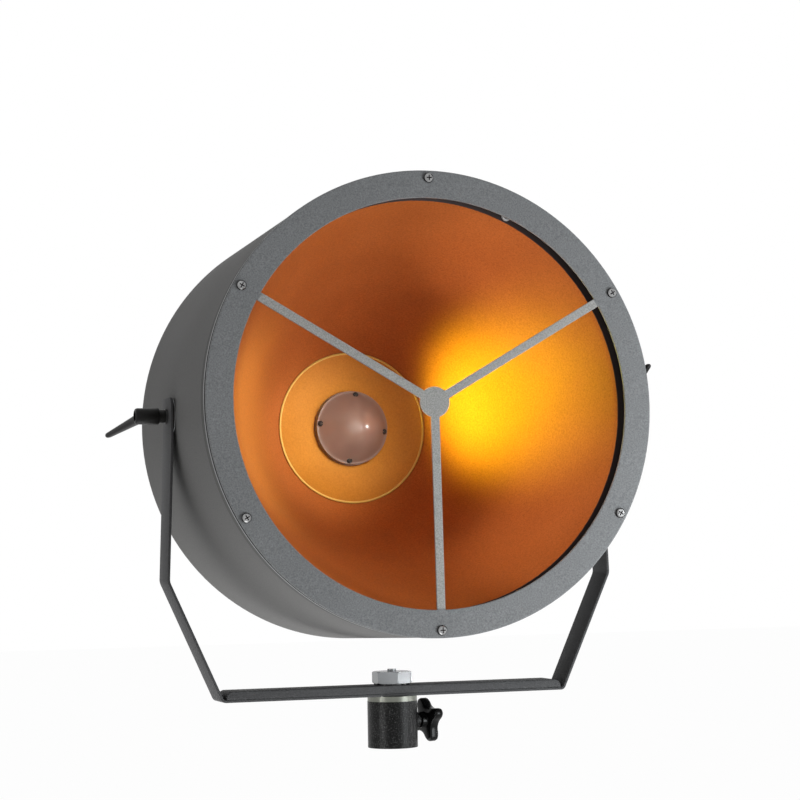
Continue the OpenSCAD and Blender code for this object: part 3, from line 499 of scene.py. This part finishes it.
def grain_colour(tree, value, colour, contrast, low, middle, high):
    """Colour that a noise makes darker and lighter by a share."""
    return ramp(tree, value, [(low, scaled(colour, 1 - contrast)), (middle, colour),
                              (high, scaled(colour, 1 + contrast))])


def paint(name, colour, rough, specular, grain=1100.0, contrast=0.22, guard=None, groove=None, band=None):
    """Powder coat: fine grain in colour and relief, slow drift in gloss.

    guard paints the spokes lighter, as painted light on one sheet with the ring; groove paints the slot
    behind the ring's plate black, as painted shade; band darkens the drum's front, as the ring's painted
    shadow.
    """
    mat, tree, bsdf = new_material(name)
    fine = noise(tree, grain)
    slow = noise(tree, 9.0)
    drift = ramp(tree, slow, [(0.3, (0.90, 0.90, 0.90)), (0.7, WHITE)])
    base = tint(tree, grain_colour(tree, fine, colour, contrast, 0.3, 0.52, 0.74), drift)
    # The spokes and hub painted lighter than the ring: painted light, as they are one sheet with it
    if guard:
        base = mix_colour(tree, inside_ring(tree), base, tint(tree, base, guard))
    # The slot between the ring's plate and its turned edge painted black: painted shade
    if groove:
        slot = mix_colour(tree, before_depth(tree, groove[1] + GROOVE_EDGE), base, GROOVE_SHADE_BLACK)
        base = mix_colour(tree, before_depth(tree, groove[0] - GROOVE_EDGE), slot, base)
    # The drum's front darkened: the ring's painted shadow on it
    if band:
        base = mix_colour(tree, before_depth(tree, band), base, tint(tree, base, RING_SHADOW_TINT))
    tree.links.new(base, bsdf.inputs["Base Color"])
    tree.links.new(span(tree, slow, rough - 0.05, rough + 0.06), bsdf.inputs["Roughness"])
    bsdf.inputs["Specular IOR Level"].default_value = specular
    bump(tree, bsdf, fine, strength=0.25, distance_mm=0.12)
    return mat


def satin_amber(name, colour, rough, speckle, specular, shade_to=None, highlight_to=None):
    """Satin anodised sheet: fine speckle, cloudy drift and low relief; a flange painted dark as painted
    shade, or a rim bead painted bright as a painted highlight.
    """
    mat, tree, bsdf = new_material(name)
    fine = noise(tree, 700.0, 4.0)
    cloud = noise(tree, 16.0, 4.0)
    drift = ramp(tree, cloud, [(0.3, (0.86, 0.82, 0.80)), (0.7, WHITE)])
    base = tint(tree, grain_colour(tree, fine, colour, speckle, 0.28, 0.5, 0.75), drift)
    # The flange behind the ring painted dark brown: painted shade
    if shade_to:
        base = mix_colour(tree, before_depth(tree, shade_to), base, FLANGE_SHADE_BROWN)
    # The bowl's rim bead in front of that depth painted bright gold: a painted highlight
    if highlight_to:
        base = mix_colour(tree, before_depth(tree, highlight_to), base, RIM_HIGHLIGHT_GOLD)
    tree.links.new(base, bsdf.inputs["Base Color"])
    tree.links.new(span(tree, cloud, rough - 0.03, rough + 0.04), bsdf.inputs["Roughness"])
    bsdf.inputs["Metallic"].default_value = 0.12
    bsdf.inputs["Specular IOR Level"].default_value = specular
    bump(tree, bsdf, fine, strength=0.3, distance_mm=0.1)
    return mat


def metal(name, colour, rough, contrast=0.12, relief=0.15, metallic=1.0, stain=0.82, drift=1.0,
          shade_from=None):
    """Plated or turned metal: fine grain, faint stains and small changes in gloss; behind a given depth a
    recess painted black as painted shade.
    """
    mat, tree, bsdf = new_material(name)
    fine = noise(tree, 900.0)
    spots = noise(tree, 140.0, 4.0)
    base = ramp(tree, fine, [(0.3, scaled(colour, 1 - contrast)), (0.7, scaled(colour, 1 + contrast))])
    base = tint(tree, base, ramp(tree, spots, [(0.35, (stain, stain, stain)), (0.6, WHITE)]))
    # Behind that depth the recess painted black: painted shade
    if shade_from is not None:
        base = mix_colour(tree, before_depth(tree, shade_from), RECESS_SHADE_BLACK, base)
    tree.links.new(base, bsdf.inputs["Base Color"])
    tree.links.new(span(tree, spots, rough - 0.05 * drift, rough + 0.08 * drift), bsdf.inputs["Roughness"])
    bsdf.inputs["Metallic"].default_value = metallic
    bump(tree, bsdf, fine, relief, 0.05)
    return mat


def plastic(name, colour, rough, grain=1500.0, relief=0.2, specular=0.5):
    """Moulded plastic: fine spark-eroded texture and faint flow in its gloss."""
    mat, tree, bsdf = new_material(name)
    fine = noise(tree, grain, 2.0)
    flow = noise(tree, 60.0, 3.0)
    base = ramp(tree, fine, [(0.3, scaled(colour, 0.8)), (0.7, scaled(colour, 1.25))])
    tree.links.new(base, bsdf.inputs["Base Color"])
    tree.links.new(span(tree, flow, rough - 0.05, rough + 0.07), bsdf.inputs["Roughness"])
    bsdf.inputs["Specular IOR Level"].default_value = specular
    bump(tree, bsdf, fine, relief, 0.05)
    return mat


def hammered(name, colour, rough):
    """Black crinkle paint of the socket: small wrinkles whose crests are painted paler, as painted glints of
    light.
    """
    mat, tree, bsdf = new_material(name)
    wrinkles = noise(tree, 850.0, 2.0, 0.6)
    fine = noise(tree, 1600.0, 2.0)
    # Paler crests: painted glints
    base = ramp(tree, wrinkles, [(0.4, scaled(colour, 0.6)), (0.55, scaled(colour, 1.4)),
                                 (0.68, scaled(colour, 10.0))])
    tree.links.new(base, bsdf.inputs["Base Color"])
    tree.links.new(span(tree, fine, rough - 0.08, rough + 0.1), bsdf.inputs["Roughness"])
    bsdf.inputs["Specular IOR Level"].default_value = 0.10
    bump(tree, bsdf, wrinkles, strength=0.8, distance_mm=0.3)
    return mat


def milky(name, colour, rough, shade_from):
    """Smoked opal lens: soft light in the body under a clear gloss, its edge painted dark as painted shade.
    """
    mat, tree, bsdf = new_material(name)
    cloud = noise(tree, 45.0, 2.0)
    base = ramp(tree, cloud, [(0.3, scaled(colour, 0.93)), (0.7, scaled(colour, 1.06))])
    # The lens's edge behind that depth painted dark: painted shade
    base = mix_colour(tree, before_depth(tree, shade_from), LENS_EDGE_SHADE, base)
    tree.links.new(base, bsdf.inputs["Base Color"])
    tree.links.new(span(tree, cloud, rough - 0.02, rough + 0.03), bsdf.inputs["Roughness"])
    bsdf.inputs["Subsurface Weight"].default_value = 0.35
    bsdf.inputs["Subsurface Radius"].default_value = (0.006, 0.0035, 0.0028)
    bsdf.inputs["Subsurface Scale"].default_value = 1.0
    tree.links.new(before_depth(tree, shade_from - 1.0, 0.6), bsdf.inputs["Coat Weight"])
    bsdf.inputs["Coat Roughness"].default_value = 0.04
    return mat


M = {
    # ring: spokes painted lighter as painted light, slot painted black as painted shade
    "ring": paint("ring_coat", (0.178, 0.182, 0.186), 0.42, 0.2, grain=900.0, contrast=0.30,
                  guard=(1.8, 1.74, 1.64), groove=GROOVE),
    # drum: front darkened as the ring's painted shadow
    "drum": paint("drum_coat", (0.135, 0.134, 0.132), 0.60, 0.03, contrast=0.15, band=RING_SHADOW_END),
    "yoke": paint("yoke_coat", (0.075, 0.075, 0.077), 0.55, 0.04),
    "socket": hammered("socket_crinkle", (0.0045, 0.0045, 0.0045), 0.30),
    # dish: flange painted dark brown as painted shade
    "dish": satin_amber("dish_amber", (0.365, 0.103, 0.025), 0.46, 0.26, 0.2, shade_to=FLANGE_SHADE),
    # bowl: rim bead painted bright as a painted highlight
    "bowl": satin_amber("bowl_gold", (0.42, 0.158, 0.020), 0.40, 0.14, 0.12, highlight_to=RIM_SHINE),
    # lens: edge painted dark as painted shade
    "lens": milky("lens_opal", (0.185, 0.112, 0.090), 0.30, shade_from=LENS_SHADE),
    "zinc": metal("zinc_plate", (0.40, 0.41, 0.42), 0.30, metallic=0.55),
    "bolt": metal("bolt_zinc", (0.28, 0.29, 0.30), 0.24, contrast=0.03, relief=0.01, metallic=0.25,
                  stain=0.98, drift=0.1),
    # screws: cross recesses painted black as painted shade
    "screw": metal("screw_zinc", (0.36, 0.36, 0.36), 0.20, metallic=0.9, stain=0.6, shade_from=RECESS_FLOOR),
    "dark_steel": metal("dark_steel", (0.05, 0.05, 0.05), 0.42),
    "oxide": metal("black_oxide", (0.012, 0.010, 0.009), 0.5, metallic=0.1),
    "washer": metal("washer_zinc", (0.15, 0.155, 0.13), 0.34, metallic=0.4),
    "post": metal("post_aluminium", (0.55, 0.55, 0.55), 0.38),
    "case": metal("driver_case", (0.40, 0.41, 0.42), 0.45),
    "fibre": plastic("friction_fibre", (0.022, 0.018, 0.015), 0.75, 700.0, 0.4, 0.2),
    "black": plastic("black_plastic", (0.008, 0.0075, 0.007), 0.34, specular=0.14),
    "gloss": plastic("black_gloss", (0.004, 0.004, 0.004), 0.18, 900.0, 0.08, 0.12),
    "board": plastic("board_mask", (0.75, 0.75, 0.72), 0.4),
    "chip": plastic("chip_phosphor", (0.75, 0.55, 0.10), 0.35),
    "brass": metal("pad_brass", (0.60, 0.42, 0.17), 0.32),
    "rubber": plastic("lead_cover", (0.02, 0.02, 0.02), 0.6, specular=0.25),
}


def dress(obj, key):
    obj.data.materials.clear()
    obj.data.materials.append(M[key])
    for poly in obj.data.polygons:
        poly.material_index = 0


NODE_LOOKS = {
    "front_hoop": "dark_steel", "ring_screws": "screw", "back_cover": "drum", "cover_screws": "zinc",
    "reflector_lugs": "zinc", "reflector_screws": "zinc", "heat_sink": "post", "post_screws": "zinc",
    "led_board": "board", "led_chip": "chip", "dome_screws": "oxide", "driver_box": "case",
    "driver_screws": "zinc", "power_inlet": "black", "inlet_pins": "zinc", "inlet_screws": "zinc",
    "switch_housing": "black", "switch_rocker": "gloss", "wiring": "rubber", "pivot_boss_left": "zinc",
    "pivot_boss_right": "zinc", "pivot_doublers": "zinc", "friction_washers": "fibre",
    "lever_washers": "dark_steel", "lever_insert_left": "black", "lever_spring_left": "zinc",
    "lever_screw_left": "dark_steel", "lever_insert_right": "black", "lever_spring_right": "zinc",
    "lever_screw_right": "dark_steel", "socket_tube": "socket", "socket_plug": "dark_steel",
    "bearing_washer": "washer", "lock_washer": "dark_steel", "swivel_bolt": "bolt", "clamp_boss": "socket",
    "clamp_screw": "zinc", "pressure_pad": "brass",
}
for node_name, look in NODE_LOOKS.items():
    dress(cad[node_name], look)

PIECES = [
    (make_guard(), "front_ring", "head", "ring", "ring_paint"),
    (make_drum(), "drum_shell", "head", "drum", "drum_paint"),
    (make_dish(), "reflector_dish", "head", "dish", "amber_aluminium"),
    (make_bowl(), "inner_bowl", "head", "bowl", "amber_aluminium"),
    (make_dome(), "dome_lens", "head", "lens", "lens"),
    (make_yoke_band(), "yoke_strip", "yoke", "yoke", "yoke_paint"),
    (make_yoke_bar(), "stiffener_bar", "yoke", "yoke", "yoke_paint"),
    (make_lever("lever_grip_left", -1, LEFT_ANGLE), "lever_handle_left", "handle_left", "black",
     "black_plastic"),
    (make_lever("lever_grip_right", 1, RIGHT_ANGLE), "lever_handle_right", "handle_right", "black",
     "black_plastic"),
    (make_knob(), "star_knob", "clamp_knob", "gloss", "black_plastic"),
]
for piece, node_name, body, look, slot in PIECES:
    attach(piece, body)
    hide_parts(node_name)
    dress(piece, look)


# Floor, world and lamps
def background_switch(tree):
    """1 for the rays that see the background as it is: camera, glossy and transmitted ones."""
    path = tree.nodes.new("ShaderNodeLightPath")
    seen = path.outputs["Is Camera Ray"]
    for name in ("Is Glossy Ray", "Is Transmission Ray"):
        node = tree.nodes.new("ShaderNodeMath")
        node.operation = "MAXIMUM"
        tree.links.new(seen, node.inputs[0])
        tree.links.new(path.outputs[name], node.inputs[1])
        seen = node.outputs[0]
    return seen


def make_floor():
    """Pale floor that is nearly white where it is seen, and keeps the object's shadow."""
    mesh = bpy.data.meshes.new("floor")
    corners = [(x * FLOOR_HALF, y * FLOOR_HALF, FLOOR_Z) for x, y in ((-1, -1), (1, -1), (1, 1), (-1, 1))]
    mesh.from_pydata(corners, [], [(0, 1, 2, 3)])
    floor = bpy.data.objects.new("floor", mesh)
    scene.collection.objects.link(floor)
    mat, tree, bsdf = new_material("floor_pale")
    bsdf.inputs["Base Color"].default_value = (0.86, 0.86, 0.85, 1)
    bsdf.inputs["Roughness"].default_value = 0.9
    glow = tree.nodes.new("ShaderNodeEmission")
    glow.inputs["Strength"].default_value = 1.0
    mix = tree.nodes.new("ShaderNodeMixShader")
    glow_unseen, glow_seen = 0.28, 0.965
    tree.links.new(span(tree, background_switch(tree), glow_unseen, glow_seen, 0.0, 1.0), mix.inputs[0])
    tree.links.new(bsdf.outputs[0], mix.inputs[1])
    tree.links.new(glow.outputs[0], mix.inputs[2])
    tree.links.new(mix.outputs[0], tree.nodes["Material Output"].inputs["Surface"])
    mesh.materials.append(mat)


def make_world():
    """White background, with softer light on the object that comes mostly from above and behind."""
    world = bpy.data.worlds.new("studio")
    scene.world = world
    world.use_nodes = True
    tree = world.node_tree
    plain = tree.nodes["Background"]
    plain.inputs["Color"].default_value = (1, 1, 1, 1)
    coords = tree.nodes.new("ShaderNodeTexCoord")
    high = tree.nodes.new("ShaderNodeVectorMath")
    high.operation = "DOT_PRODUCT"
    brightest_at, dim, bright = Vector((-0.25, 0.5, 0.83)), 0.04, 0.85
    high.inputs[1].default_value = brightest_at.normalized()
    tree.links.new(coords.outputs["Generated"], high.inputs[0])
    tree.links.new(span(tree, high.outputs["Value"], dim, bright, 0.0, 0.9), plain.inputs["Strength"])
    seen = tree.nodes.new("ShaderNodeBackground")
    seen.inputs["Color"].default_value = (1, 1, 1, 1)
    seen.inputs["Strength"].default_value = 1.0
    mix = tree.nodes.new("ShaderNodeMixShader")
    tree.links.new(background_switch(tree), mix.inputs[0])
    tree.links.new(plain.outputs[0], mix.inputs[1])
    tree.links.new(seen.outputs[0], mix.inputs[2])
    tree.links.new(mix.outputs[0], tree.nodes["World Output"].inputs["Surface"])


def place_lamp(name, data, at, aim):
    """Puts a lamp at a point and turns it to another, unseen by the camera."""
    lamp = bpy.data.objects.new(name, data)
    scene.collection.objects.link(lamp)
    lamp.location = at
    lamp.rotation_euler = (Vector(aim) - Vector(at)).to_track_quat("-Z", "Y").to_euler()
    lamp.visible_camera = False
    return lamp


def area_lamp(name, at, aim, size, size_y, watts, colour=WHITE):
    data = bpy.data.lights.new(name, "AREA")
    data.shape = "RECTANGLE"
    data.size, data.size_y = size, size_y
    data.energy = watts
    data.color = colour
    place_lamp(name, data, at, aim)


def spot_lamp(name, at, aim, degrees, watts, colour, blend, radius, glossy):
    data = bpy.data.lights.new(name, "SPOT")
    data.energy = watts
    data.color = colour
    data.spot_size = math.radians(degrees)
    data.spot_blend = blend
    data.shadow_soft_size = radius
    place_lamp(name, data, at, aim).visible_glossy = glossy


def head_point(x, depth, z):
    return HEAD @ (Vector((x, depth, z)) * MM)


make_floor()
make_world()

# Studio lamps, placed in metres
SOCKET_AT = (0, 0, 0)
area_lamp("key_right", (0.62, -0.66, 0.04), (0, -0.05, 0.25), 0.3, 0.7, 8.0, (0.94, 0.98, 1.0))
area_lamp("fill_left", (-2.1, -1.3, 0.6), (0, 0, 0.25), 0.2, 1.2, 0.4)
area_lamp("under_drum", (-0.2, 0.05, -0.25), (-0.12, 0.05, 0.25), 0.5, 0.4, 1.7)
spot_lamp("socket_left", (-0.95, -0.42, 0.0), SOCKET_AT, 5.0, 36.0, WHITE, 0.6, 0.06, True)
spot_lamp("socket_right", (1.02, -0.18, 0.0), SOCKET_AT, 5.0, 15.0, WHITE, 0.6, 0.06, True)

# Lamps in the head: from and to in its millimetres, cone, watts, colour, blend, radius, seen in gloss
HEAD_SPOTS = [
    ("lamp_glow", (10, 196, 0), (108, 160, 19), 96.0, 0.66, (1.0, 0.96, 0.02), 1.0, 0.012, True),
    ("lamp_bloom", (-20, 172, 0), (118, 148, 18), 82.0, 1.4, (1.0, 0.94, 0.02), 1.0, 0.03, True),
    ("lens_glint", (88, 176, 4), (0, 212, 0), 30.0, 0.10, WHITE, 0.3, 0.008, True),
    ("dish_left", (120, 40, 0), (-130, 125, -8), 46.0, 5.4, (0.78, 1.0, 0.6), 1.0, 0.03, False),
    ("dish_upper_right", (-60, 40, -60), (112, 54, 112), 60.0, 2.0, (1.0, 0.9, 0.8), 1.0, 0.03, False),
    ("dish_lower_right", (-60, 40, 60), (137, 50, -84), 60.0, 2.2, (1.0, 0.9, 0.8), 1.0, 0.03, False),
    ("dish_bottom", (0, 30, 60), (-20, 70, -150), 90.0, 0.5, WHITE, 1.0, 0.03, False),
    ("dish_depth", (0, 110, 0), (0, 230, 0), 160.0, 0.12, (1.0, 0.92, 0.8), 1.0, 0.03, False),
    ("bowl_left", (10, 30, 20), (-38, 229, -16), 50.0, 2.6, (0.95, 1.0, 0.9), 1.0, 0.03, False),
]
for name, at, aim, *light in HEAD_SPOTS:
    spot_lamp(name, head_point(*at), head_point(*aim), *light)


# Camera at the photograph's viewing angle
def make_camera():
    data = bpy.data.cameras.new("photo_view")
    data.sensor_width = SENSOR
    data.lens = FOCAL_PX / IMAGE_PX * SENSOR
    data.clip_start, data.clip_end = 0.05, 60.0
    camera = bpy.data.objects.new("photo_view", data)
    scene.collection.objects.link(camera)
    camera.matrix_world = (Matrix.Translation(CAMERA_AT)
                           @ Matrix.Rotation(math.radians(-CAMERA_YAW), 4, "Z")
                           @ Matrix.Rotation(math.radians(90 + CAMERA_PITCH), 4, "X")
                           @ Matrix.Rotation(math.radians(CAMERA_ROLL), 4, "Z"))
    scene.camera = camera


make_camera()
scene.view_settings.view_transform = "Standard"
